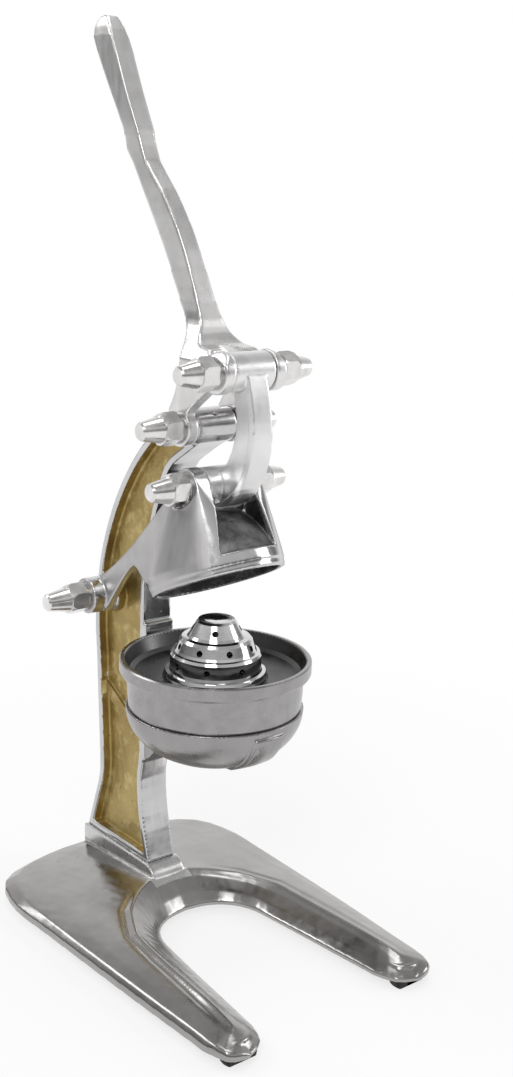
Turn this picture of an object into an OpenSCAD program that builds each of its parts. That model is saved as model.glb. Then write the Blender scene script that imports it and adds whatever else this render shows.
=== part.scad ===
// Lever citrus juice press, millimetres. X right, -Y front, Z up, origin on the floor at the centre of the box.

/* [Stand] */
// Outer half width of the horseshoe base
base_half_w = 92; // [88:0.5:94]
// Height of the ridge along the legs of the base
ridge_z = 19; // [16:0.5:22]
// Height of the pad that carries the column
pad_z = 31.2; // [29:0.1:33]
// Half width of the column casting
col_half_w = 11; // [10:0.25:12]
// Depth of the painted pocket on each side of the column
pocket_depth = 6.5; // [5:0.25:7]
// Standing height of the rubber feet below the casting
foot_h = 5; // [4:0.5:6]

/* [Bowl] */
// Outer radius of the cup rim
rim_r = 60; // [58:0.25:60.3]
// Height of the cup rim above the floor
rim_z = 193; // [192:0.5:194]
// Height of the seam between the cup and the holder
seam_z = 162; // [160:0.5:164]
// Diameter of the strainer holes
hole_d = 4; // [3:0.25:4.5]

/* [Linkage] */
// Height of the fulcrum pin above the floor
fulcrum_z = 336.6; // [336:0.1:337]
// Height of the rear head pin above the floor
rear_z = 210; // [209:0.25:211]
// Radius of every steel rod
rod_r = 5; // [4.5:0.1:5]
// Outer radius of the pressing bell
bell_r = 42; // [41:0.25:42.5]
// Angle of the open head above its closed position
head_open = 26; // [25:0.25:26.5]
// Half width of the hand lever at mid length
lever_half_w = 6; // [5.5:0.25:7]

/* [Hidden] */
$fn = 64;

// the drawing has the bowl axis at Y 0; placed() moves it so that the box is centred
shift_y = -5.5;
// pin centres in the Y-Z plane
U = [-21, fulcrum_z + 36.7];
M = [13.5, fulcrum_z];
L = [2.6, fulcrum_z - 34.6];
R = [106, rear_z];
run = 0.05;            // running clearance of every shaft
gap = 0.3;             // gap between castings that move apart
side_gap = 0.5;        // gap beside each boss
boss_w = 14.5;         // half width of the column and link bosses
ear_out = 22.5;        // outer face of the fork ears
lug_in = 13.8;         // inner face of the head lugs
lug_out = 24;          // outer face of the head lugs
cheek_in = 14.3;       // inner face of the head side plates
cheek_out = 20;        // outer face of the head side plates
rear_out = 29;         // outer face of the rear head bosses
washer_t = 2;
washer_r = 9.6;
bush_r = 7;
open_eye_r = rod_r + 3;  // opened pivot: large eye of the link at the upper rod
eye_clear = 15;          // room for that eye inside the fork
hex_r = 9 / cos(30);
bell_y = -4.5;         // closed bell axis
bell_z = rim_z - 2;    // closed bell rim height

// curve through a few control points
function cr(a, b, c, d, t) = 0.5 * (2 * b + (c - a) * t + (2 * a - 5 * b + 4 * c - d) * t * t
                             + (3 * b - a - 3 * c + d) * t * t * t);
function at(p, i) = p[max(0, min(len(p) - 1, i))];
function curve(p, n = 4) = concat([for (i = [0 : len(p) - 2], k = [0 : n - 1])
    cr(at(p, i - 1), p[i], p[i + 1], at(p, i + 2), k / n)], [p[len(p) - 1]]);
function along(p, u) = let (s = u * (len(p) - 1), i = min(floor(s), len(p) - 2))
    cr(at(p, i - 1), p[i], p[i + 1], at(p, i + 2), s - i);
function turn(p, c, a) = [c[0] + (p[0] - c[0]) * cos(a) - (p[1] - c[1]) * sin(a),
                          c[1] + (p[0] - c[0]) * sin(a) + (p[1] - c[1]) * cos(a)];

// Y-Z drawing extruded along X from x0 to x1
module side(x0, x1) {
    translate([x0, 0, 0])
        rotate([90, 0, 90])
            linear_extrude(x1 - x0)
                children();
}

// round bar along X at a pin centre
module bar(c, r, x0, x1) {
    translate([x0, c[0], c[1]])
        rotate([0, 90, 0])
            cylinder(r = r, h = x1 - x0);
}

// turn the head from its closed position to its open position
module open_head() {
    translate([0, R[0], R[1]])
        rotate([-head_open, 0, 0])
            translate([0, -R[0], -R[1]])
                children();
}

// from the bowl's axis to the frame of the part
module placed() {
    translate([0, shift_y, 0])
        children();
}

// both sides of the press
module both() {
    children();
    mirror([1, 0, 0])
        children();
}

// ---------- stand ----------
// half outlines of the horseshoe, leg tip to rear centre: outer edge, shoulder, ridge, inner edge
half_outer = [[66, -129], [82, -122], [85, -86], [88, -28], [base_half_w - 1, 51], [base_half_w, 94],
              [80, 126], [44, 138.5], [0, 140]];
half_shoulder = [[66.3, -125.5], [75, -115], [77, -80], [79, -26], [77, 40], [70, 84],
                 [54, 112], [28, 122], [0, 126]];
half_ridge = [[66.8, -123], [65, -108], [63, -76], [60, -30], [57, 0], [44, 26],
              [28, 40], [14, 46], [0, 48]];
half_inner = [[67.5, -128.6], [51, -119], [46.5, -90], [42, -45], [39, -18], [36.5, 0],
              [29, 14], [16, 23], [0, 26]];
tip_z = 10;
half_rise = [tip_z, ridge_z - 2, ridge_z, ridge_z, ridge_z + 0.5, ridge_z + 1.5,
             ridge_z + 3.5, ridge_z + 5, ridge_z + 5.5];
half_fall = [tip_z - 1, ridge_z - 5, ridge_z - 4, ridge_z - 3.5, ridge_z - 3, ridge_z - 2.5,
             ridge_z - 2, ridge_z - 1, ridge_z - 1];

stations = 26;
function mirror_x(p, s) = [s * p[0], p[1]];
function leg_point(p, u, s) = mirror_x(along(p, u), s);

// closed cross section at one station, skin thickness t
function leg_section(u, s, t) = let (
        o = leg_point(half_outer, u, s),
        h = leg_point(half_shoulder, u, s),
        r = leg_point(half_ridge, u, s),
        i = leg_point(half_inner, u, s),
        zr = along(half_rise, u),
        zf = along(half_fall, u),
        e = min(1, 0.2 + u * 7))
    [[o[0], o[1], foot_h],
     [o[0], o[1], foot_h + 0.45 * (zf - foot_h)],
     [o[0] * 0.72 + h[0] * 0.28, o[1] * 0.72 + h[1] * 0.28, foot_h + 0.78 * (zf - foot_h)],
     [h[0], h[1], zf],
     [(h[0] + r[0]) / 2, (h[1] + r[1]) / 2, zf * 0.42 + zr * 0.58],
     [r[0], r[1], zr],
     [r[0] * 0.72 + i[0] * 0.28, r[1] * 0.72 + i[1] * 0.28, zr - 0.16 * (zr - foot_h)],
     [r[0] * 0.3 + i[0] * 0.7, r[1] * 0.3 + i[1] * 0.7, zr - 0.5 * (zr - foot_h)],
     [i[0], i[1], foot_h + 3],
     [i[0], i[1], foot_h],
     [i[0] + (r[0] - i[0]) * 0.3 * e, i[1] + (r[1] - i[1]) * 0.3 * e, foot_h],
     [r[0], r[1], foot_h + (zr - foot_h - t) * 0.9 * e],
     [h[0], h[1], foot_h + (zf - foot_h - t) * 0.9 * e],
     [o[0] + (h[0] - o[0]) * 0.45 * e, o[1] + (h[1] - o[1]) * 0.45 * e, foot_h]];

// skin of the horseshoe: sections swept from the right leg tip to the left
module horseshoe() {
    rows = [for (k = [0 : 2 * stations]) k <= stations
        ? leg_section(pow(k / stations, 1.15), 1, 4.5)
        : leg_section(pow((2 * stations - k) / stations, 1.15), -1, 4.5)];
    n = len(rows[0]);
    m = len(rows);
    mid = [for (row = [rows[0], rows[m - 1]]) [row[5][0], row[5][1], (foot_h + row[5][2]) / 2]];
    points = concat([for (row = rows, p = row) p], mid);
    skin = [for (j = [0 : m - 2], i = [0 : n - 1], half = [0, 1]) let (
        a = j * n + i, b = j * n + (i + 1) % n, c = (j + 1) * n + (i + 1) % n, d = (j + 1) * n + i)
        half == 0 ? [a, b, c] : [a, c, d]];
    ends = [for (i = [0 : n - 1], far = [0, 1]) let (k = (i + 1) % n, b = (m - 1) * n)
        far == 0 ? [k, i, m * n] : [b + i, b + k, m * n + 1]];
    polyhedron(points = points, faces = concat(ends, skin), convexity = 8);
}

feet = [[66.5, -111], [68, 104]];
foot_r = 9.5;
bolt_y = [74, 110];
bolt_r = 3;

module base() {
    color("silver")
        placed()
            difference() {
                union() {
                    horseshoe();
                    side(-13, 13)
                        polygon(concat([[44, 14], [132.5, 14], [133.5, pad_z - 1.5], [132, pad_z]],
                            curve([[54, pad_z], [50.5, pad_z - 1.3], [47, pad_z - 4.5], [45, pad_z - 9]])));
                    both()
                        for (f = feet)
                            translate([f[0], f[1], foot_h])
                                cylinder(r = foot_r, h = 8.5);
                }
                for (y = bolt_y)
                    translate([0, y, 0])
                        cylinder(r = bolt_r + run, h = 40);
                for (y = bolt_y)
                    translate([0, y, -1])
                        cylinder(r = 7, h = 15);
                both()
                    for (f = feet)
                        translate([f[0], f[1], 0])
                            cylinder(r = 2 + run, h = 11.5);
            }
}

module rubber_feet() {
    color("#1c1c1e")
        placed()
            both()
                for (f = feet)
                    translate([f[0], f[1], 0])
                        rotate_extrude()
                            polygon([[2 + run, 2.2], [4.2, 2.2], [4.2, 0], [foot_r - 1.2, 0],
                                     [foot_r - 0.6, 0.6], [foot_r, foot_h], [2 + run, foot_h]]);
}

module foot_screws() {
    color("dimgray")
        placed()
            both()
                for (f = feet)
                    translate([f[0], f[1], 0])
                        union() {
                            translate([0, 0, 0.8])
                                cylinder(r = 3.7, h = 1.4);
                            cylinder(r = 2, h = 10.5);
                        }
}

module column_bolts() {
    color("dimgray")
        placed()
            for (y = bolt_y)
                translate([0, y, 0])
                    difference() {
                        union() {
                            translate([0, 0, 7])
                                cylinder(r = 5.2, h = 7);
                            translate([0, 0, 10])
                                cylinder(r = bolt_r, h = 38);
                        }
                        translate([0, 0, 6])
                            cylinder(r = 2.8, h = 4.5, $fn = 6);
                    }
}

col_back = [[131, pad_z], [122.5, 56], [117.3, 72], [116.1, 86], [118.5, 125], [120.4, 160],
            [122.4, 191.5], [116.8, 229.8], [106.6, 259.5], [92.5, 285.9], [75.4, 308.7],
            [56, 327], [36, 340], [16, M[1] + 10.8]];
col_front = [[6, M[1] - 8.6], [23.3, 317.5], [40, 304], [53, 272], [63, 232], [64, 207],
             [63.5, 150], [63.6, 107], [66.2, 88], [63.4, 62], [55, pad_z]];

module column_outline() {
    polygon(concat(curve(col_back, 3), curve(col_front, 3)));
}

// pocket outline: inset of the column, less the bosses and the slanting rib
module pocket_outline() {
    difference() {
        intersection() {
            offset(delta = -4.6)
                column_outline();
            translate([18, pad_z + 4])
                square([120, 400]);
        }
        translate(M)
            circle(r = 15);
        translate(R)
            circle(r = 13.2);
        polygon([[58, 105], [58, 113], [108, 141], [126, 150], [126, 142], [112, 134], [72, 111]]);
    }
}

module column() {
    color("silver")
        placed()
            difference() {
                union() {
                    side(-col_half_w, col_half_w)
                        column_outline();
                    bar(M, 10.8, -boss_w, boss_w);
                    bar(R, 12, -13.6, 13.6);
                    side(-col_half_w, col_half_w)
                        polygon([[62, 104], [65, 100], [70, 100], [70, 199], [60.9, 199], [60.9, 166], [62, 163]]);
                }
                both()
                    side(col_half_w - pocket_depth, col_half_w + 1)
                        pocket_outline();
                bar(M, bush_r + run, -40, 40);
                bar(R, bush_r + run, -40, 40);
                for (y = bolt_y)
                    translate([0, y, pad_z - 10])
                        cylinder(r = bolt_r + run, h = 28);
                for (x = screw_x)
                    translate([x, 68, screw_z])
                        rotate([90, 0, 0])
                            cylinder(r = 2.5 + run, h = 40);
                translate([0, M[0] - 4, M[1]])
                    rotate([20, 0, 0])
                        cylinder(r = 1.2, h = 14);
            }
}

module bush(c, half) {
    difference() {
        bar(c, bush_r, -half, half);
        bar(c, rod_r + run, -half - 1, half + 1);
    }
}

module fulcrum_bush() {
    color("darkgoldenrod")
        placed()
            bush(M, boss_w);
}

module rear_bush() {
    color("darkgoldenrod")
        placed()
            bush(R, 13.6);
}

// ---------- bowl ----------
screw_x = [-5.6, 5.6];
screw_z = 150;
holder_top = seam_z - gap;
cup_r = rim_r - 5;         // outer wall of the cup under its rim
spigot_r = cup_r - 3.8;    // step of the cup inside the holder

module bowl_holder() {
    color("silver")
        placed()
            difference() {
                union() {
                    rotate_extrude($fn = 96)
                        polygon(concat([[0, 126.6], [14, 126.8]],
                            curve([[20, 127.8], [33, 131.8], [cup_r - 11.2, 138.2], [cup_r - 4, 146],
                                   [cup_r - 0.2, 154], [cup_r + 1, holder_top]], 3),
                            [[0, holder_top]]));
                    // raised panel at the front of the bowl
                    intersection() {
                        rotate_extrude($fn = 96)
                            polygon(concat([[0, 128]],
                                curve([[33, 130.2], [cup_r - 10, 136.6], [cup_r - 2.4, 145.2],
                                       [cup_r + 1.6, 153], [cup_r + 2.6, 157]], 3),
                                [[0, 158]]));
                        translate([-11, -70, 112])
                            cube([22, 60, 50]);
                    }
                    side(-10.5, 10.5)
                        polygon(concat(curve([[62 - run, 105], [57, 106.5], [50, 113.5], [42, 124], [34, 131]], 3),
                            [[30, 150], [62 - run, 161]]));
                }
                rotate_extrude($fn = 96)
                    polygon(concat([[0, 131], [12, 131.2]],
                        curve([[17, 131.8], [30, 135.6], [cup_r - 16, 141.2], [cup_r - 9.4, 148.4],
                               [cup_r - 5.4, 155.6], [cup_r - 4.5, seam_z + 1]], 3),
                        [[0, seam_z + 1]]));
                translate([0, 0, seam_z - 4])
                    cylinder(r = spigot_r + 0.4, h = 12);
                translate([0, 0, 110])
                    cylinder(r = 9, h = 30);
                for (x = screw_x)
                    translate([x, 70, screw_z])
                        rotate([90, 0, 0])
                            cylinder(r = 2.5 + run, h = 40);
                for (x = screw_x)
                    translate([x, 51.5, screw_z])
                        rotate([90, 0, 0])
                            cylinder(r = 4.8, h = 20);
            }
}

module holder_screws() {
    color("dimgray")
        placed()
            for (x = screw_x)
                translate([x, 0, screw_z])
                    rotate([-90, 0, 0])
                        difference() {
                            union() {
                                translate([0, 0, 51.5])
                                    cylinder(r = 2.5, h = 16);
                                translate([0, 0, 47])
                                    cylinder(r = 4.4, h = 4.5);
                            }
                            translate([0, 0, 46])
                                cylinder(r = 2.2, h = 3.2, $fn = 6);
                        }
}

floor_z = 180;
well_r = 26;

module cup() {
    color("silver")
        placed()
            rotate_extrude($fn = 96)
                polygon([[cup_r - 1, seam_z], [cup_r - 0.6, seam_z + 1], [cup_r, seam_z + 9],
                         [cup_r + 0.4, rim_z - 9.4], [rim_r - 0.8, rim_z - 9],
                         [rim_r, rim_z - 7.5], [rim_r, rim_z - 0.8], [rim_r - 0.8, rim_z], [rim_r - 2.8, rim_z],
                         [rim_r - 3.6, rim_z - 1], [cup_r - 1.4, floor_z + 4.5], [cup_r - 4, floor_z + 2.4],
                         [33, floor_z + 0.6], [32.6, floor_z], [well_r, floor_z], [well_r, floor_z - 3.5],
                         [cup_r - 6, floor_z - 2.4], [cup_r - 4.2, floor_z - 5], [cup_r - 4.6, seam_z - 3.6],
                         [spigot_r, seam_z - 3.6], [spigot_r, seam_z]]);
}

// tier radii and heights of the strainer
lower_r = 28.5;
middle_r = 25;
cone_r = 17.6;
top_r = 11.9;

module hole_ring(count, phase, r, z, tilt) {
    for (k = [0 : count - 1])
        rotate([0, 0, phase + k * 360 / count])
            translate([r, 0, z])
                rotate([0, tilt, 0])
                    translate([0, 0, -6])
                        cylinder(d = hole_d, h = 12, $fn = 24);
}

module strainer() {
    color("gainsboro")
        placed()
            difference() {
                rotate_extrude($fn = 96)
                    polygon([[24.6, floor_z + gap], [32.1, floor_z + gap], [32.3, floor_z + 3], [31.4, 185],
                             [lower_r + 0.6, 185.4], [lower_r, 187], [lower_r, 195.4], [lower_r - 1, 197],
                             [middle_r + 0.8, 197.4], [middle_r, 199], [22.8, 204.6], [21.4, 206.4],
                             [cone_r + 0.6, 206.8], [cone_r - 0.6, 208.4], [top_r + 0.6, 216.2],
                             [top_r - 0.6, 217.6], [8, 217.4], [0, 216.4], [0, 213.4], [8.4, 214.2],
                             [14.6, 205.6], [15.6, 203.8], [20, 203.4], [22.4, 197.4], [23.4, 194.6],
                             [25.6, 194], [25.8, 186], [24.6, 184.4]]);
                hole_ring(4, -40, 15, 212, 60);
                hole_ring(8, -62, 24, 201.6, 72);
                hole_ring(8, -48, lower_r, 191, 90);
            }
}

// ---------- head ----------
Lc = turn(L, R, head_open);   // lower link pin with the head closed

module bell_dome() {
    translate([0, bell_y, 0])
        rotate_extrude($fn = 96)
            polygon(concat([[0, bell_z], [bell_r - 0.8, bell_z], [bell_r, bell_z + 1]],
                curve([[bell_r, bell_z + 8], [bell_r - 2.4, 206], [35.4, 215], [25, 228.5], [10, 235], [0, 236]], 3)));
}

module bell_cavity() {
    translate([0, bell_y, 0])
        rotate_extrude($fn = 96)
            polygon(concat([[0, bell_z - 1], [bell_r - 2.6, bell_z - 1], [bell_r - 3.4, bell_z + 0.8]],
                curve([[bell_r - 3.6, 200], [36.6, 208], [31.4, 218], [21, 227.6], [8, 231.6], [0, 232]], 3)));
}

// side plates from the lower link pin to the rear pin, head open
module cheek_outline() {
    polygon(concat(curve([[104, 222], [84, 236.5], [63.8, 254], [44, 274], [28, 290], [12, 305]], 2),
        [[-6, 292], [0, 262], [20, 240]],
        curve([[38, 231], [46, 230.5], [53, 233], [60, 238.5], [66, 238], [80, 222], [94, 203.5], [99, 199.6]], 2)));
}

module press_head() {
    color("silver")
        placed()
            difference() {
                union() {
                    open_head()
                        union() {
                            difference() {
                                hull() {
                                    translate([0, bell_y, bell_z + 5])
                                        cylinder(r = bell_r + 0.6, h = 6, $fn = 72);
                                    bar(Lc, 12, -lug_out, lug_out);
                                    translate([-18.5, 18, 222])
                                        cube([37, 4, 4]);
                                }
                                rotate([90, 0, 0])
                                    translate([0, 0, -80])
                                        linear_extrude(160)
                                            polygon([[-lug_in, 300], [-lug_in, 246], [-21, 203], [21, 203],
                                                     [lug_in, 246], [lug_in, 300]]);
                            }
                            bell_dome();
                        }
                    both()
                        side(cheek_in, cheek_out)
                            cheek_outline();
                    both()
                        bar(R, 12, cheek_in, rear_out);
                }
                open_head()
                    bell_cavity();
                bar(L, rod_r + run, -40, 40);
                bar(R, rod_r + run, -40, 40);
                // flat seats for the washers and nuts
                both()
                    bar(L, 11.6, lug_out, 60);
                both()
                    translate([22, R[0], R[1]])
                        rotate([-30, 0, 0])
                            cylinder(r = 1.2, h = 14);
            }
}

// ---------- hardware ----------
module rod(c, half) {
    bar(c, rod_r, -half, half);
}

module washers(c, x0) {
    both()
        difference() {
            bar(c, washer_r, x0, x0 + washer_t);
            bar(c, rod_r + run, x0 - 1, x0 + washer_t + 1);
        }
}

// cap nut: hexagon, then a blunt cone, bored from the inner face
module cap_nuts(c, x0, hex_l, cone_l, depth) {
    both()
        difference() {
            translate([x0, c[0], c[1]])
                rotate([0, 90, 0])
                    union() {
                        intersection() {
                            cylinder(r = hex_r, h = hex_l, $fn = 6);
                            cylinder(r1 = hex_r - 0.5, r2 = hex_r + 1.5, h = 3);
                        }
                        translate([0, 0, 2.9])
                            intersection() {
                                cylinder(r = hex_r, h = hex_l - 2.9, $fn = 6);
                                cylinder(r1 = hex_r + 1.8, r2 = hex_r - 1, h = hex_l - 2.9);
                            }
                        translate([0, 0, hex_l - 0.1])
                            cylinder(r1 = 8.2, r2 = 5.6, h = cone_l - 0.9);
                        translate([0, 0, hex_l + cone_l - 1.1])
                            cylinder(r1 = 5.6, r2 = 4.6, h = 1.1);
                    }
            bar(c, rod_r + run, x0 - 1, x0 + depth);
        }
}

module rear_rod() {
    color("gray")
        placed()
            rod(R, 48);
}

module rear_washers() {
    color("darkgray")
        placed()
            washers(R, rear_out);
}

module rear_cap_nuts() {
    color("gainsboro")
        placed()
            cap_nuts(R, rear_out + washer_t, 12.5, 15.5, 18);
}

module lower_link_rod() {
    color("gray")
        placed()
            rod(L, 42);
}

module lower_washers() {
    color("darkgray")
        placed()
            washers(L, lug_out);
}

module lower_cap_nuts() {
    color("gainsboro")
        placed()
            cap_nuts(L, lug_out + washer_t, 11, 13, 17);
}

module fulcrum_rod() {
    color("gray")
        placed()
            rod(M, 41);
}

module fulcrum_washers() {
    color("darkgray")
        placed()
            washers(M, ear_out);
}

module fulcrum_cap_nuts() {
    color("gainsboro")
        placed()
            cap_nuts(M, ear_out + washer_t, 11.5, 14, 17.5);
}

module upper_link_rod() {
    color("gray")
        placed()
            rod(U, 40);
}

module upper_washers() {
    color("darkgray")
        placed()
            washers(U, ear_out);
}

module upper_cap_nuts() {
    color("gainsboro")
        placed()
            cap_nuts(U, ear_out + washer_t, 11, 12.5, 16.5);
}

// ---------- hand lever ----------
lever_rear = [[24, 346], [20, 352], [16.5, 360], [13.8, 371], [14.5, 380], [19, 388], [27, 399], [35, 409],
              [45.5, 426], [60.5, 449], [77.5, 473], [88.5, 489], [95.5, 497], [98.5, 509], [114, 533],
              [129.5, 558], [133.5, 569], [128.5, 577], [121, 577.4]];
lever_front = [[114.5, 569], [107, 556], [95.5, 532], [83, 509], [75, 491], [58, 474],
               [39.5, 451], [26.5, 428.5], [17, 410], [11.4, 400], [7.5, 392], [1, 386.6], [-9, 385.4]];

module lever_side() {
    polygon(concat(curve(lever_rear, 2), curve(lever_front, 2), [[U[0], U[1]], [-14, 361.5], [2, 349.5], M]));
    translate(U)
        circle(r = 12.5);
    translate(M)
        circle(r = 11.6);
}

// half widths of the lever with height
lever_half = [[ear_out, 320], [ear_out, 373], [21.4, 379.5], [16.8, 386], [11.4, 393], [8.4, 400], [7.2, 410],
              [6.3, 430], [lever_half_w, 470], [lever_half_w, 490], [6.2, 500], [6.6, 515], [6.8, 556],
              [5.8, 571], [4, 578]];

module lever_front_view() {
    half = curve(lever_half, 2);
    polygon(concat(half, [for (i = [len(half) - 1 : -1 : 0]) [-half[i][0], half[i][1]]]));
}

module hand_lever() {
    color("silver")
        placed()
            difference() {
                intersection() {
                    side(-30, 30)
                        lever_side();
                    translate([0, 200, 0])
                        rotate([90, 0, 0])
                            linear_extrude(300)
                                lever_front_view();
                }
                // gap of the fork
                translate([0, 200, 0])
                    rotate([90, 0, 0])
                        linear_extrude(300)
                            union() {
                                translate([-boss_w - side_gap, 300])
                                    square([2 * (boss_w + side_gap), 77.5]);
                                translate([0, 377.5])
                                    scale([1, 0.56])
                                        circle(r = boss_w + side_gap, $fn = 40);
                            }
                bar(U, eye_clear, -boss_w - side_gap, boss_w + side_gap);
                bar(M, rod_r + run, -40, 40);
                bar(U, rod_r + run, -40, 40);
                both()
                    bar(M, 11.7, ear_out, 40);
                both()
                    bar(U, 12.6, ear_out, 40);
            }
}

// ---------- link ----------
link_outer = [[U[0] - 8, U[1] + 8], [-33.5, 370], [-37.5, 356], [-39.5, 340], [-38.5, 325], [-33, 310],
              [-23, 298], [-10, 291], [L[0], L[1] - 11]];
link_inner = [[L[0] + 4, L[1] + 9], [-6, 312], [-13.5, 321], [-18, 332], [-19.5, 345], [-17, 357],
              [U[0] + 6, U[1] - 9]];
flange_t = 5;

module link_shape() {
    polygon(concat(curve(link_outer, 3), curve(link_inner, 3)));
}

module c_link() {
    color("silver")
        placed()
            difference() {
                union() {
                    side(-4.2, 4.2)
                        link_shape();
                    side(-7.2, 7.2)
                        difference() {
                            link_shape();
                            translate([flange_t, 1.2])
                                link_shape();
                            translate([-16, 300])
                                square([60, 90]);
                        }
                    bar(U, 11.6, -boss_w, boss_w);
                    bar(L, 11.4, -lug_in + side_gap, lug_in - side_gap);
                }
                bar(U, open_eye_r, -40, 40);
                bar(L, bush_r + run, -40, 40);
            }
}

module link_bush() {
    color("darkgoldenrod")
        placed()
            bush(L, lug_in - side_gap);
}

base();
rubber_feet();
foot_screws();
column();
column_bolts();
fulcrum_bush();
rear_bush();
bowl_holder();
holder_screws();
cup();
strainer();
press_head();
rear_rod();
rear_cap_nuts();
rear_washers();
lower_link_rod();
lower_cap_nuts();
lower_washers();
hand_lever();
fulcrum_rod();
fulcrum_cap_nuts();
fulcrum_washers();
upper_link_rod();
upper_cap_nuts();
upper_washers();
c_link();
link_bush();
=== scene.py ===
import math

import bpy
from mathutils import Matrix, Vector
from mathutils.bvhtree import BVHTree
from mathutils.kdtree import KDTree

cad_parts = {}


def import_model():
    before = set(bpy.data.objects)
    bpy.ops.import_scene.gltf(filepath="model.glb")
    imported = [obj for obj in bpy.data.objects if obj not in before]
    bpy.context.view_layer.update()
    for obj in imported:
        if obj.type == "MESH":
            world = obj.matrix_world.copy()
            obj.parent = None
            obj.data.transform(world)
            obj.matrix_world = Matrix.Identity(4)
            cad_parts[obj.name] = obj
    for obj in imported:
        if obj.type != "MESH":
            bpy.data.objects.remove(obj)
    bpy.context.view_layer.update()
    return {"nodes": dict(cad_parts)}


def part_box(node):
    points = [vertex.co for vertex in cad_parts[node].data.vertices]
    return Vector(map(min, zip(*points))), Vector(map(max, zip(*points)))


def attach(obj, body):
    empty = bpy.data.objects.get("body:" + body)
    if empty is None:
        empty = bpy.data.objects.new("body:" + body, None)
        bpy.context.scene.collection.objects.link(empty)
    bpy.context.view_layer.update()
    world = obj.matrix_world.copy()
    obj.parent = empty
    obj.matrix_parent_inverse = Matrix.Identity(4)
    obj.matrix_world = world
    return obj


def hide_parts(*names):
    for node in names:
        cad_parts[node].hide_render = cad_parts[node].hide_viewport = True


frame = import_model()
NODES = frame["nodes"]
MM = 0.001

# places in the part's frame, in metres
BOWL_Y = -0.0055         # axis of the bowl
BELL_Y = -0.010          # axis of the bell when the head is closed
HEAD_PIVOT = Vector((0.0, 0.1005, 0.210))
HEAD_OPEN = 26.0         # degrees that the head stands open at rest

# millimetres
SHIFT_Y = 5.5            # added to Y, it gives the frame about the bowl's axis that crest and rib use
FOOT_X = 66.5            # middle of a foot, sideways
FOOT_Y = -116.5          # middle of the front feet in the solids
TIP_FOOT_Y = -122.0      # middle of the front feet in the scene, nearer the tips of the legs
FEET_GROW = 1.22         # how much wider the front feet are in the scene

# ---------------------------------------------------------------- materials


def set_range(node, low, high, to_low=0.0, to_high=1.0):
    """Sets the four limits of a Map Range node."""
    for key, value in zip(("From Min", "From Max", "To Min", "To Max"), (low, high, to_low, to_high)):
        node.inputs[key].default_value = value


class Tree:
    """A small helper around one material's node tree."""

    def __init__(self, name):
        self.mat = bpy.data.materials.new(name)
        self.mat.use_nodes = True
        self.nt = self.mat.node_tree
        self.nt.nodes.clear()
        out = self.add("ShaderNodeOutputMaterial")
        self.bsdf = self.add("ShaderNodeBsdfPrincipled")
        self.link(self.bsdf.outputs[0], out.inputs["Surface"])
        self.coord = self.add("ShaderNodeTexCoord").outputs["Object"]

    def add(self, kind, **sets):
        node = self.nt.nodes.new(kind)
        for key, value in sets.items():
            setattr(node, key, value)
        return node

    def link(self, a, b):
        self.nt.links.new(a, b)

    def noise(self, scale, detail=3.0, rough=0.55, stretch=None):
        node = self.add("ShaderNodeTexNoise")
        node.inputs["Scale"].default_value = scale
        node.inputs["Detail"].default_value = detail
        node.inputs["Roughness"].default_value = rough
        if stretch is None:
            self.link(self.coord, node.inputs["Vector"])
        else:
            mapping = self.add("ShaderNodeMapping")
            mapping.inputs["Scale"].default_value = stretch
            self.link(self.coord, mapping.inputs["Vector"])
            self.link(mapping.outputs[0], node.inputs["Vector"])
        return node.outputs["Fac"]

    def cells(self, scale):
        node = self.add("ShaderNodeTexVoronoi", feature="F1")
        node.inputs["Scale"].default_value = scale
        self.link(self.coord, node.inputs["Vector"])
        return node.outputs["Distance"]

    def span(self, fac, low, high, to_low, to_high):
        node = self.add("ShaderNodeMapRange", clamp=True)
        set_range(node, low, high, to_low, to_high)
        self.link(fac, node.inputs["Value"])
        return node.outputs[0]

    def mix(self, fac, a, b):
        node = self.add("ShaderNodeMix", data_type="RGBA")
        self.link(fac, node.inputs["Factor"])
        for value, socket in ((a, node.inputs[6]), (b, node.inputs[7])):
            if isinstance(value, tuple):
                socket.default_value = (*value, 1.0)
            else:
                self.link(value, socket)
        return node.outputs[2]

    def math(self, op, a, b):
        node = self.add("ShaderNodeMath", operation=op)
        for value, socket in ((a, node.inputs[0]), (b, node.inputs[1])):
            if isinstance(value, (int, float)):
                socket.default_value = value
            else:
                self.link(value, socket)
        return node.outputs[0]

    def bump(self, height, distance, normal=None):
        node = self.add("ShaderNodeBump")
        node.inputs["Strength"].default_value = 1.0
        node.inputs["Distance"].default_value = distance
        self.link(height, node.inputs["Height"])
        if normal is not None:
            self.link(normal, node.inputs["Normal"])
        return node.outputs["Normal"]

    def set(self, **values):
        for key, value in values.items():
            socket = self.bsdf.inputs[key.replace("_", " ")]
            if isinstance(value, (int, float)):
                socket.default_value = value
            else:
                self.link(value, socket)
        return self.mat


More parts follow.
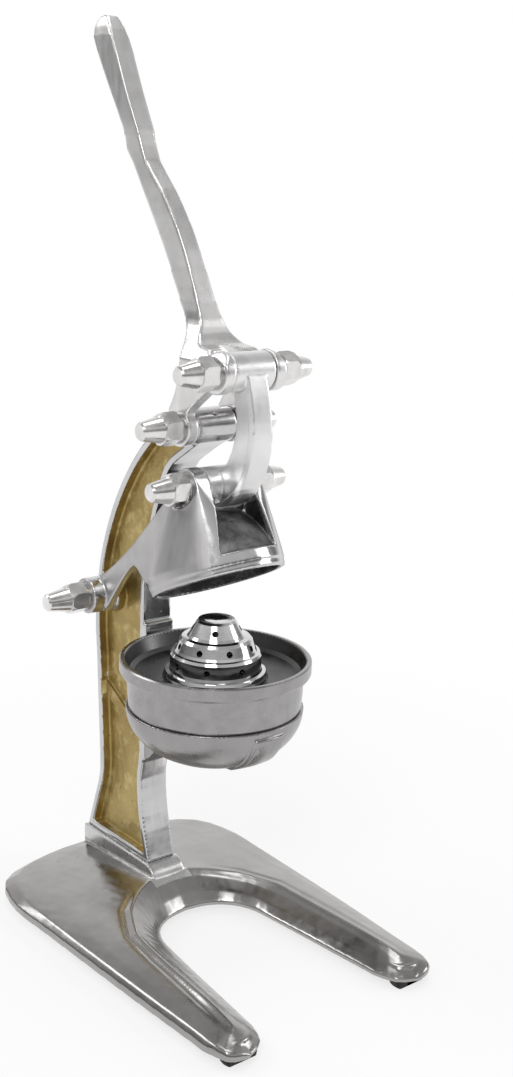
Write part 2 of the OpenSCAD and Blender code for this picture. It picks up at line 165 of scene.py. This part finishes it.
def casting(name, tone, rough, wave=0.0006):
    """Hand-polished sand casting: broad waviness, faint polishing lines and a few pits."""
    t = Tree(name)
    broad = t.noise(38, 2.0, 0.5)
    fine = t.noise(900, 2.0, 0.5)
    streak = t.noise(160, 3.0, 0.6, (1.0, 1.0, 0.12))
    spots = t.cells(150)
    specks = t.span(spots, 0.0, 0.09, 1.0, 0.0)
    where = t.span(t.noise(24, 2.0, 0.5), 0.58, 0.68, 0.0, 1.0)
    specks = t.math("MULTIPLY", specks, where)
    low = tuple(c * 0.86 for c in tone)
    color = t.mix(t.span(broad, 0.3, 0.7, 0.0, 1.0), low, tone)
    color = t.mix(specks, color, tuple(c * 0.35 for c in tone))
    normal = t.bump(broad, wave)
    normal = t.bump(streak, 0.00003, normal)
    normal = t.bump(fine, 0.00001, normal)
    normal = t.bump(t.math("MULTIPLY", specks, -1.0), 0.00025, normal)
    shine = t.span(streak, 0.3, 0.7, rough - 0.05, rough + 0.07)
    return t.set(Base_Color=color, Metallic=1.0, Roughness=shine, Normal=normal)


def rough_cast(name, tone):
    """As-cast skin left between the ribs of the head and inside its bell."""
    t = Tree(name)
    grain = t.noise(420, 4.0, 0.7)
    blotch = t.noise(70, 4.0, 0.65)
    color = t.mix(t.span(blotch, 0.35, 0.65, 0.0, 1.0), tuple(c * 0.3 for c in tone), tone)
    normal = t.bump(grain, 0.0004, t.bump(blotch, 0.0012))
    shine = t.span(grain, 0.3, 0.7, 0.42, 0.66)
    return t.set(Base_Color=color, Metallic=0.85, Roughness=shine, Normal=normal)


def gold_paint(name):
    """Gold enamel brushed into the pockets of the column, over rough casting."""
    t = Tree(name)
    dent = t.noise(95, 3.0, 0.6)
    broad = t.noise(28, 2.0, 0.5)
    grain = t.noise(650, 2.0, 0.5)
    chips = t.span(t.noise(210, 3.0, 0.6), 0.66, 0.74, 0.0, 1.0)
    color = t.mix(t.span(broad, 0.3, 0.7, 0.0, 1.0), (0.31, 0.215, 0.065), (0.5, 0.38, 0.145))
    color = t.mix(t.span(dent, 0.52, 0.72, 0.0, 0.8), color, (0.68, 0.55, 0.27))
    color = t.mix(chips, color, (0.2, 0.13, 0.035))
    normal = t.bump(grain, 0.00003, t.bump(dent, 0.0011, t.bump(broad, 0.0012)))
    shine = t.span(dent, 0.3, 0.7, 0.3, 0.46)
    return t.set(Base_Color=color, Metallic=0.72, Roughness=shine, Normal=normal)


def turned(name, tone, rough, rings):
    """Turned or drawn metal with fine machining lines."""
    t = Tree(name)
    lines = t.noise(rings, 2.0, 0.5, (1.0, 0.08, 0.08))
    stain = t.noise(90, 3.0, 0.6)
    color = t.mix(t.span(stain, 0.35, 0.65, 0.0, 1.0), tuple(c * 0.82 for c in tone), tone)
    normal = t.bump(lines, 0.000008, t.bump(stain, 0.00006))
    shine = t.span(stain, 0.3, 0.7, rough - 0.05, rough + 0.08)
    return t.set(Base_Color=color, Metallic=1.0, Roughness=shine, Normal=normal)


def rubber(name):
    """Moulded black rubber with a little dust."""
    t = Tree(name)
    grain = t.noise(700, 3.0, 0.6)
    dust = t.span(t.noise(60, 3.0, 0.6), 0.45, 0.75, 0.0, 0.6)
    color = t.mix(dust, (0.012, 0.012, 0.013), (0.05, 0.05, 0.052))
    shine = t.span(grain, 0.3, 0.7, 0.55, 0.75)
    return t.set(Base_Color=color, Roughness=shine, Normal=t.bump(grain, 0.00006))


CAST = casting("cast_polished", (0.62, 0.615, 0.62), 0.16)
# painted shade: the bowl holder's casting is toned darker than the head and column, for the shade on the
# lower half of the press
SATIN_PAINTED_SHADE = casting("cast_satin_painted_shade", (0.36, 0.35, 0.35), 0.28, 0.0004)
# painted light: the lever's casting is toned paler than the head and column, for the light falling on it
# from above
CAST_PAINTED_LIGHT = casting("cast_pale_painted_light", (0.8, 0.79, 0.785), 0.3, 0.0004)
# painted light: the link's casting is toned paler still, for the light falling on it from above
LINK_PAINTED_LIGHT = casting("cast_link_painted_light", (0.84, 0.84, 0.84), 0.33, 0.0005)
# painted highlight: the pad's copy of the base casting is toned paler, for the bright light on its front
PAD_PAINTED_LIGHT = casting("cast_pad_painted_light", (0.66, 0.655, 0.65), 0.26, 0.0004)
# painted shade: the base's casting is toned darker than the head and column, for the shade on the lower
# half of the press
BASE_PAINTED_SHADE = casting("base_polished_painted_shade", (0.41, 0.4, 0.393), 0.2, 0.0005)
# satin spun metal, toned darker as painted shade on the lower half of the press
SPUN_PAINTED_SHADE = turned("spun_satin_painted_shade", (0.37, 0.36, 0.36), 0.25, 500)
CHROME = turned("strainer_bright", (0.72, 0.72, 0.73), 0.09, 700)
# painted shade: the inside of the cup is a near-black copy of the spun metal, for the shade and dark
# reflection inside it
CUP_IN_PAINTED_SHADE = turned("cup_inside_painted_shade", (0.12, 0.12, 0.12), 0.3, 500)
# polished cap nuts, toned brighter still as painted light from above
NUT_PAINTED_LIGHT = turned("nut_bright_painted_light", (0.82, 0.81, 0.8), 0.2, 700)
STEEL = turned("rod_steel", (0.5, 0.5, 0.51), 0.24, 900)
DARK = turned("screw_steel", (0.3, 0.3, 0.31), 0.38, 600)
BRASS = turned("bush_brass", (0.62, 0.46, 0.2), 0.3, 600)
CHEEK = casting("cast_cheek", (0.55, 0.54, 0.54), 0.42, 0.0003)
GOLD = gold_paint("gold_enamel")
ROUGH = rough_cast("cast_rough", (0.3, 0.3, 0.305))
# painted shade: a darker copy of the rough casting, inside the hollow of the bell
BELL_IN_PAINTED_SHADE = rough_cast("bell_inside_painted_shade", (0.16, 0.16, 0.165))
RUBBER = rubber("foot_rubber")

# ---------------------------------------------------------------- softened castings


def copy_of(node, name):
    """A new object with the node's own mesh."""
    obj = bpy.data.objects.new(name, NODES[node].data.copy())
    bpy.context.scene.collection.objects.link(obj)
    return obj


def soft_copy(node, name, voxel, passes, mats):
    """The node's solid remeshed and relaxed, so that its edges are rounded as polishing leaves them."""
    obj = copy_of(node, name)
    obj.data.materials.clear()
    remesh = obj.modifiers.new("skin", "REMESH")
    remesh.mode = "VOXEL"
    remesh.voxel_size = voxel
    smooth = obj.modifiers.new("relax", "SMOOTH")
    smooth.factor = 0.5
    smooth.iterations = passes
    graph = bpy.context.evaluated_depsgraph_get()
    baked = bpy.data.meshes.new_from_object(obj.evaluated_get(graph))
    obj.modifiers.clear()
    obj.data = baked
    baked.name = name
    for mat in mats:
        baked.materials.append(mat)
    baked.shade_smooth()
    return obj


def paint(obj, choose):
    """Sets each face's material index from its centre and normal."""
    for poly in obj.data.polygons:
        poly.material_index = choose(poly.center, poly.normal)


def clamp_box(obj, node):
    """Keeps a relaxed copy inside its node's box."""
    low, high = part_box(node)
    for v in obj.data.vertices:
        for i in range(3):
            v.co[i] = min(max(v.co[i], low[i]), high[i])


base = soft_copy("base", "base_casting", 0.8 * MM, 7, [BASE_PAINTED_SHADE, PAD_PAINTED_LIGHT])
column = soft_copy("column", "column_casting", 0.75 * MM, 6, [CAST, GOLD])
head = soft_copy("press_head", "head_casting", 0.75 * MM, 5, [CAST, BELL_IN_PAINTED_SHADE, ROUGH, CHEEK])
lever = soft_copy("hand_lever", "lever_casting", 0.8 * MM, 5, [CAST_PAINTED_LIGHT])
link = soft_copy("c_link", "link_casting", 0.6 * MM, 3, [LINK_PAINTED_LIGHT])
holder = soft_copy("bowl_holder", "holder_casting", 0.8 * MM, 3, [SATIN_PAINTED_SHADE])

# ---------------------------------------------------------------- feet and crest of the base


def about_foot(co, grow, y_from, y_to):
    """Scales a point in plan about the foot on its own side, and moves that centre along Y."""
    cx = math.copysign(FOOT_X * MM, co.x)
    co.x = cx + (co.x - cx) * grow
    co.y = y_to * MM + (co.y - y_from * MM) * grow


def near_tips(node, name, grow):
    """Copy of a node under the base whose front pair sits close to the leg tips."""
    obj = copy_of(node, name)
    for v in obj.data.vertices:
        if v.co.y < 0:
            about_foot(v.co, grow, FOOT_Y, TIP_FOOT_Y)
    return obj


feet = near_tips("rubber_feet", "feet_moulded", FEET_GROW)
feet_screws = near_tips("foot_screws", "feet_screws", 1.0)

# crest of the right leg seen from above, from the tip back and round to the middle, in millimetres
# about the bowl's axis. The left leg is its mirror image.
CREST = [(66.8, -123), (65, -108), (63, -76), (60, -30), (57, 0), (44, 26), (28, 40), (14, 46)]
CREST_STEPS = 16         # points along each stretch
CREST_FROM = 10          # point where the crest starts to rise
CREST_TO = 96            # point where it has died away
CREST_FADE = 20          # points that it takes to rise or to die away
CREST_HIGH = 0.5
CREST_WIDTH = 2.0        # of the crest, and of the groove outside it
GROOVE_DEEP = 0.9
GROOVE_AT = 4.6          # distance of the groove from the crest
BETWEEN_LEGS = 10        # X and Y of a point on the inner side of the crest

# lower edge of the tips
SKIRT_TOP = 12           # the edge is drawn in below this height, and the crest is above it
SKIRT_FADE = 6
TIP_FROM = -105          # Y where the tips start, about the bowl's axis
TIP_FADE = 12
TIP_MIDDLE = -120        # Y that they are drawn in to, in the part's frame
TIP_SHRINK = 0.13

# the pad under the column is painted lighter than the rest of the base, for the bright light on its
# front, within this half width and above this height
PAD_HALF = 15
PAD_LOW = 21


def unit(value):
    """The value kept between 0 and 1."""
    return min(1.0, max(0.0, value))


def crest_points():
    """Points along the crest, numbered in order, for nearest-point searches."""
    found = KDTree(CREST_STEPS * (len(CREST) - 1))
    for k, (a, b) in enumerate(zip(CREST, CREST[1:])):
        for i in range(CREST_STEPS):
            w = i / CREST_STEPS
            at = (a[0] * (1 - w) + b[0] * w, a[1] * (1 - w) + b[1] * w, 0)
            found.insert(at, CREST_STEPS * k + i)
    found.balance()
    return found


def crest_lift(crest, x, y):
    """Height in metres added at a point: a low bead on the crest and a groove outside it."""
    near, index, far = crest.find((x, y, 0))
    here = math.hypot(x - BETWEEN_LEGS, y - BETWEEN_LEGS)
    outside = here > math.hypot(near.x - BETWEEN_LEGS, near.y - BETWEEN_LEGS)
    d = far if outside else -far
    fade = unit((index - CREST_FROM) / CREST_FADE) * unit((CREST_TO - index) / CREST_FADE)
    bead = CREST_HIGH * math.exp(-(d / CREST_WIDTH) ** 2)
    groove = GROOVE_DEEP * math.exp(-((d - GROOVE_AT) / CREST_WIDTH) ** 2)
    return fade * MM * (bead - groove)


def shape_base():
    """Crest and groove along each leg, a lower edge drawn in at the tips, and the pad painted lighter
    than the rest of the base as painted light.
    """
    crest = crest_points()
    for v in base.data.vertices:
        x, y, z = abs(v.co.x) / MM, v.co.y / MM + SHIFT_Y, v.co.z / MM
        if z > SKIRT_TOP:
            v.co.z += crest_lift(crest, x, y)
        elif y < TIP_FROM:
            t = unit((SKIRT_TOP - z) / SKIRT_FADE) * unit((TIP_FROM - y) / TIP_FADE)
            about_foot(v.co, 1 - TIP_SHRINK * t, TIP_MIDDLE, TIP_MIDDLE)
    ease = base.modifiers.new("ease", "SMOOTH")
    ease.factor = 0.5
    ease.iterations = 3
    # the pad takes the paler material, as painted light
    paint(base, lambda c, n: 1 if abs(c.x) < PAD_HALF * MM and c.z > PAD_LOW * MM else 0)


shape_base()

# ---------------------------------------------------------------- rib and paint of the column

# millimetres. Y is taken about the bowl's axis
RIB_HALF = 7.2           # half width that the slanting rib keeps
RIB_FRONT, RIB_BACK = 67.9, 114.0
RIB_Y = 58               # the rib's lower and upper limits are given at this Y
RIB_LOW, RIB_HIGH = 101, 118
RIB_SLOPE = 0.585

WEB_HALF = 2.0           # nothing nearer the middle than this is painted
FLOOR_HALF = 6.0         # the floor of a pocket is nearer the middle than this
SHELF_HALF = 7.6         # the lowered rib is nearer the middle than this
SHELF_FRONT, SHELF_BACK = 67, 114.2
SHELF_LOW, SHELF_HIGH = 105, 156
FLANGE_HALF = 10.3       # faces further out than this are polished
HIT_HALF = 10.9          # a ray across a pocket has to meet the casting nearer the middle than this
PAINT_LOW = 34           # height where the paint starts
RAY_START = 0.6
RAY_REACH = 0.09         # metres


def lower_rib():
    """The slanting rib is low inside the pocket."""
    for v in column.data.vertices:
        y, z = v.co.y / MM + SHIFT_Y, v.co.z / MM
        up = (y - RIB_Y) * RIB_SLOPE
        in_band = RIB_FRONT < y < RIB_BACK and RIB_LOW + up < z < RIB_HIGH + up
        if abs(v.co.x) > RIB_HALF * MM and in_band:
            v.co.x = math.copysign(RIB_HALF * MM, v.co.x)


lower_rib()

column_tree = BVHTree.FromObject(column, bpy.context.evaluated_depsgraph_get())


def in_pocket(c, n):
    """1 for the floor and the rib of a pocket, and for faces that look across it at the casting."""
    x, y, z = abs(c.x), c.y / MM + SHIFT_Y, c.z / MM
    outward = n.x * c.x > 0
    on_shelf = SHELF_FRONT < y < SHELF_BACK and SHELF_LOW < z < SHELF_HIGH
    if WEB_HALF * MM < x < SHELF_HALF * MM and on_shelf and outward:
        return 1
    if x > FLANGE_HALF * MM or x < WEB_HALF * MM or c.z < PAINT_LOW * MM:
        return 0
    if x < FLOOR_HALF * MM and outward and abs(n.x) > 0.35:
        return 1
    across = Vector((0.0, n.y, n.z)).normalized()
    hit = column_tree.ray_cast(c + across * RAY_START * MM, across, RAY_REACH)[0]
    return 1 if hit is not None and abs(hit.x) < HIT_HALF * MM else 0


paint(column, in_pocket)

# ---------------------------------------------------------------- zones of the head

# millimetres, with the head closed
BELL_IN_R = 38.8         # the bell is hollow inside this radius and below this height
BELL_IN_TOP = 232.5
GAP_HALF = 13.6          # half width between the ribs, if they went up to GAP_Z
GAP_Z = 246
GAP_FLARE = 0.165        # half width gained for each millimetre further down
GAP_LOW, GAP_HIGH = 202.5, 238
GAP_R = 41.5
CHEEK_X = 13.5           # the sides of the head are further out than this
CLOSE = Matrix.Rotation(math.radians(HEAD_OPEN), 4, "X")


def head_zone(c, n):
    """Material index on the head: 1 inside the bell, a darker copy of the rough casting as painted shade,
    2 between the ribs, 3 on the sides.
    """
    q = HEAD_PIVOT + CLOSE @ (c - HEAD_PIVOT)
    m = CLOSE @ n
    r = math.hypot(q.x, q.y - BELL_Y)
    inner = r < BELL_IN_R * MM and q.z < BELL_IN_TOP * MM and m.z < 0.2
    inward = q.x * m.x + (q.y - BELL_Y) * m.y < 0
    if inner and (inward or m.z < -0.6):
        return 1
    slot = abs(q.x) < (GAP_HALF + (GAP_Z - q.z / MM) * GAP_FLARE) * MM
    if slot and GAP_LOW * MM < q.z < GAP_HIGH * MM and m.z > 0.05 and r < GAP_R * MM:
        return 2
    return 3 if abs(n.x) > 0.62 and abs(c.x) > CHEEK_X * MM else 0


paint(head, head_zone)

for piece, node, body, slot in (
        (base, "base", "stand", "polished_casting"),
        (column, "column", "stand", "painted_column"),
        (head, "press_head", "press_head", "polished_casting"),
        (lever, "hand_lever", "lever", "polished_casting"),
        (link, "c_link", "link", "polished_casting"),
        (holder, "bowl_holder", "stand", "polished_casting"),
        (feet, "rubber_feet", "stand", "black_rubber"),
        (feet_screws, "foot_screws", "stand", "dark_steel")):
    clamp_box(piece, node)
    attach(piece, body)
    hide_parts(node)

# ---------------------------------------------------------------- finishes on the other nodes

BEVEL_ANGLE = math.radians(35)
NUT_BEVEL = 0.35         # millimetres
WASHER_BEVEL = 0.25
FEET_BEVEL = 0.3


def finish(node, mat, bevel=0.0):
    """One material on a node or on a copy, with a small bevel where asked for."""
    obj = NODES[node] if isinstance(node, str) else node
    obj.data.materials.clear()
    obj.data.materials.append(mat)
    if bevel:
        mod = obj.modifiers.new("edge", "BEVEL")
        mod.width = bevel
        mod.segments = 2
        mod.limit_method = "ANGLE"
        mod.angle_limit = BEVEL_ANGLE
        mod.harden_normals = True


for node in ("rear_cap_nuts", "lower_cap_nuts", "fulcrum_cap_nuts", "upper_cap_nuts"):
    finish(node, NUT_PAINTED_LIGHT, NUT_BEVEL * MM)
for node in ("rear_washers", "lower_washers", "fulcrum_washers", "upper_washers"):
    finish(node, STEEL, WASHER_BEVEL * MM)
for node in ("rear_rod", "lower_link_rod", "fulcrum_rod", "upper_link_rod"):
    finish(node, STEEL)
for node in (feet_screws, "column_bolts", "holder_screws"):
    finish(node, DARK)
for node in ("fulcrum_bush", "rear_bush", "link_bush"):
    finish(node, BRASS)
finish(feet, RUBBER, FEET_BEVEL * MM)
finish("cup", SPUN_PAINTED_SHADE)
finish("strainer", CHROME)

CUP_IN_R = 56.8          # millimetres. The inside of the cup is nearer its axis than this
CUP_IN_LOW = 179         # and above this height


def cup_zone(c, n):
    """1 for the wall and the floor inside the cup, which take a near-black copy of the spun metal as
    painted shade and dark reflection.
    """
    inside = math.hypot(c.x, c.y - BOWL_Y) < CUP_IN_R * MM and c.z > CUP_IN_LOW * MM
    inward = c.x * n.x + (c.y - BOWL_Y) * n.y < 0
    return 1 if inside and n.z > -0.2 and (inward or n.z > 0.9) else 0


NODES["cup"].data.materials.append(CUP_IN_PAINTED_SHADE)
paint(NODES["cup"], cup_zone)

# ---------------------------------------------------------------- camera, floor and light

PHOTO_H = 1077.0         # height of the photograph, in pixels
FOCAL = 1395.9           # focal length in the same pixels
CENTRE = (5.0, -2.3)     # how far the optical centre is off the middle, in the same pixels
YAW, PITCH, ROLL = 38.95, 14.2, 1.74
CAMERA_AT = (-0.5028, -0.6593, 0.4793)


def camera():
    """The photograph's viewpoint, solved from its ellipses and pin axes."""
    yaw, pitch, roll = (math.radians(a) for a in (YAW, PITCH, ROLL))
    d = Vector((math.sin(yaw) * math.cos(pitch), math.cos(yaw) * math.cos(pitch), -math.sin(pitch)))
    r0 = Vector((math.cos(yaw), -math.sin(yaw), 0.0))
    u0 = r0.cross(d)
    c, s = math.cos(roll), math.sin(roll)
    r = c * r0 + s * u0
    u = -s * r0 + c * u0
    data = bpy.data.cameras.new("camera")
    data.sensor_width = 36.0
    data.lens = FOCAL * data.sensor_width / PHOTO_H
    data.shift_x = CENTRE[0] / PHOTO_H
    data.shift_y = CENTRE[1] / PHOTO_H
    obj = bpy.data.objects.new("camera", data)
    turn = Matrix(((r.x, u.x, -d.x), (r.y, u.y, -d.y), (r.z, u.z, -d.z))).to_4x4()
    obj.matrix_world = Matrix.Translation(CAMERA_AT) @ turn
    bpy.context.scene.collection.objects.link(obj)
    bpy.context.scene.camera = obj


def background_rays(nt):
    """1 for camera, glossy and transmission rays."""
    path = nt.nodes.new("ShaderNodeLightPath")
    last = path.outputs["Is Camera Ray"]
    for name in ("Is Glossy Ray", "Is Transmission Ray"):
        node = nt.nodes.new("ShaderNodeMath")
        node.operation = "MAXIMUM"
        nt.links.new(last, node.inputs[0])
        nt.links.new(path.outputs[name], node.inputs[1])
        last = node.outputs[0]
    return last


FLOOR_REACH = 6.0        # metres from the middle to an edge of the floor
FADE_FROM = 0.2          # metres from the middle where the shadow starts to fade
FADE_TO = 0.6            # and where the floor is plain white
WHITE_NEAR = 0.74        # share of plain white under the press


def floor():
    """Pale floor that keeps the shadow near the press and fades to white around it."""
    mesh = bpy.data.meshes.new("floor")
    s = FLOOR_REACH
    mesh.from_pydata([(-s, -s, 0), (s, -s, 0), (s, s, 0), (-s, s, 0)], [], [(0, 1, 2, 3)])
    obj = bpy.data.objects.new("floor", mesh)
    bpy.context.scene.collection.objects.link(obj)
    mat = bpy.data.materials.new("floor")
    mat.use_nodes = True
    bsdf = mat.node_tree.nodes["Principled BSDF"]
    bsdf.inputs["Base Color"].default_value = (0.96, 0.96, 0.96, 1)
    bsdf.inputs["Roughness"].default_value = 0.9
    bsdf.inputs["Specular IOR Level"].default_value = 0.0
    nt = mat.node_tree
    glow = nt.nodes.new("ShaderNodeEmission")
    glow.inputs["Color"].default_value = (1, 1, 1, 1)
    mix = nt.nodes.new("ShaderNodeMixShader")
    share = nt.nodes.new("ShaderNodeMath")
    share.operation = "MULTIPLY"
    spot = nt.nodes.new("ShaderNodeTexCoord")
    far = nt.nodes.new("ShaderNodeVectorMath")
    far.operation = "LENGTH"
    nt.links.new(spot.outputs["Object"], far.inputs[0])
    fade = nt.nodes.new("ShaderNodeMapRange")
    set_range(fade, FADE_FROM, FADE_TO, WHITE_NEAR, 1.0)
    nt.links.new(far.outputs["Value"], fade.inputs["Value"])
    nt.links.new(fade.outputs[0], share.inputs[1])
    nt.links.new(background_rays(nt), share.inputs[0])
    nt.links.new(share.outputs[0], mix.inputs[0])
    nt.links.new(bsdf.outputs[0], mix.inputs[1])
    nt.links.new(glow.outputs[0], mix.inputs[2])
    nt.links.new(mix.outputs[0], nt.nodes["Material Output"].inputs["Surface"])
    mesh.materials.append(mat)


# how white the room is, by direction: 0 is straight against the vector and 1 straight along it
UP = (0.0, 0.0, 1.0)
ROOM_GREYS = [(0.0, 0.8), (0.49, 0.7), (0.53, 0.1), (0.62, 0.28), (0.76, 0.66), (0.88, 0.45), (1.0, 0.35)]
AWAY = (0.63, 0.77, 0.0)     # away from the camera
BACKDROP = [(0.0, 0.0), (0.78, 0.0), (0.95, 1.0), (1.0, 1.0)]


def world():
    """White for the camera. All other rays see a grey room, with a white side behind the press."""
    w = bpy.data.worlds.new("studio")
    bpy.context.scene.world = w
    w.use_nodes = True
    nt = w.node_tree
    nt.nodes.clear()
    out = nt.nodes.new("ShaderNodeOutputWorld")
    coord = nt.nodes.new("ShaderNodeTexCoord")

    def towards(vector, stops):
        """Grey level by how far a direction points along the vector."""
        dot = nt.nodes.new("ShaderNodeVectorMath")
        dot.operation = "DOT_PRODUCT"
        dot.inputs[1].default_value = vector
        nt.links.new(coord.outputs["Generated"], dot.inputs[0])
        span = nt.nodes.new("ShaderNodeMapRange")
        set_range(span, -1.0, 1.0)
        nt.links.new(dot.outputs["Value"], span.inputs["Value"])
        ramp = nt.nodes.new("ShaderNodeValToRGB")
        ramp.color_ramp.interpolation = "EASE"
        while len(ramp.color_ramp.elements) < len(stops):
            ramp.color_ramp.elements.new(0.5)
        for element, (pos, value) in zip(ramp.color_ramp.elements, stops):
            element.position = pos
            element.color = (value, value, value, 1)
        nt.links.new(span.outputs[0], ramp.inputs["Fac"])
        return ramp.outputs["Color"]

    room = towards(UP, ROOM_GREYS)
    behind = towards(AWAY, BACKDROP)
    blend = nt.nodes.new("ShaderNodeMix")
    blend.data_type = "RGBA"
    nt.links.new(behind, blend.inputs["Factor"])
    nt.links.new(room, blend.inputs[6])
    blend.inputs[7].default_value = (1, 1, 1, 1)
    soft = nt.nodes.new("ShaderNodeBackground")
    nt.links.new(blend.outputs[2], soft.inputs["Color"])
    white = nt.nodes.new("ShaderNodeBackground")
    white.inputs["Color"].default_value = (1, 1, 1, 1)
    path = nt.nodes.new("ShaderNodeLightPath")
    mix = nt.nodes.new("ShaderNodeMixShader")
    nt.links.new(path.outputs["Is Camera Ray"], mix.inputs[0])
    nt.links.new(soft.outputs[0], mix.inputs[1])
    nt.links.new(white.outputs[0], mix.inputs[2])
    nt.links.new(mix.outputs[0], out.inputs["Surface"])


def softbox(name, at, target, size, watts):
    """Rectangular lamp aimed at a point."""
    data = bpy.data.lights.new(name, "AREA")
    data.shape = "RECTANGLE"
    data.size, data.size_y = size
    data.energy = watts
    obj = bpy.data.objects.new(name, data)
    obj.location = at
    obj.rotation_euler = (Vector(target) - Vector(at)).to_track_quat("-Z", "Y").to_euler()
    bpy.context.scene.collection.objects.link(obj)


camera()
floor()
world()
softbox("key", (-1.1, -0.9, 1.6), (0, 0, 0.25), (0.8, 0.8), 10)
softbox("side", (1.4, -0.9, 0.8), (0, 0, 0.25), (0.6, 1.0), 6)
softbox("back", (-0.9, 1.2, 1.3), (0, 0, 0.3), (0.8, 0.6), 5)
softbox("top", (0.1, 0.1, 1.7), (0, 0, 0.2), (0.8, 0.8), 5)

bpy.context.scene.view_settings.view_transform = "Standard"
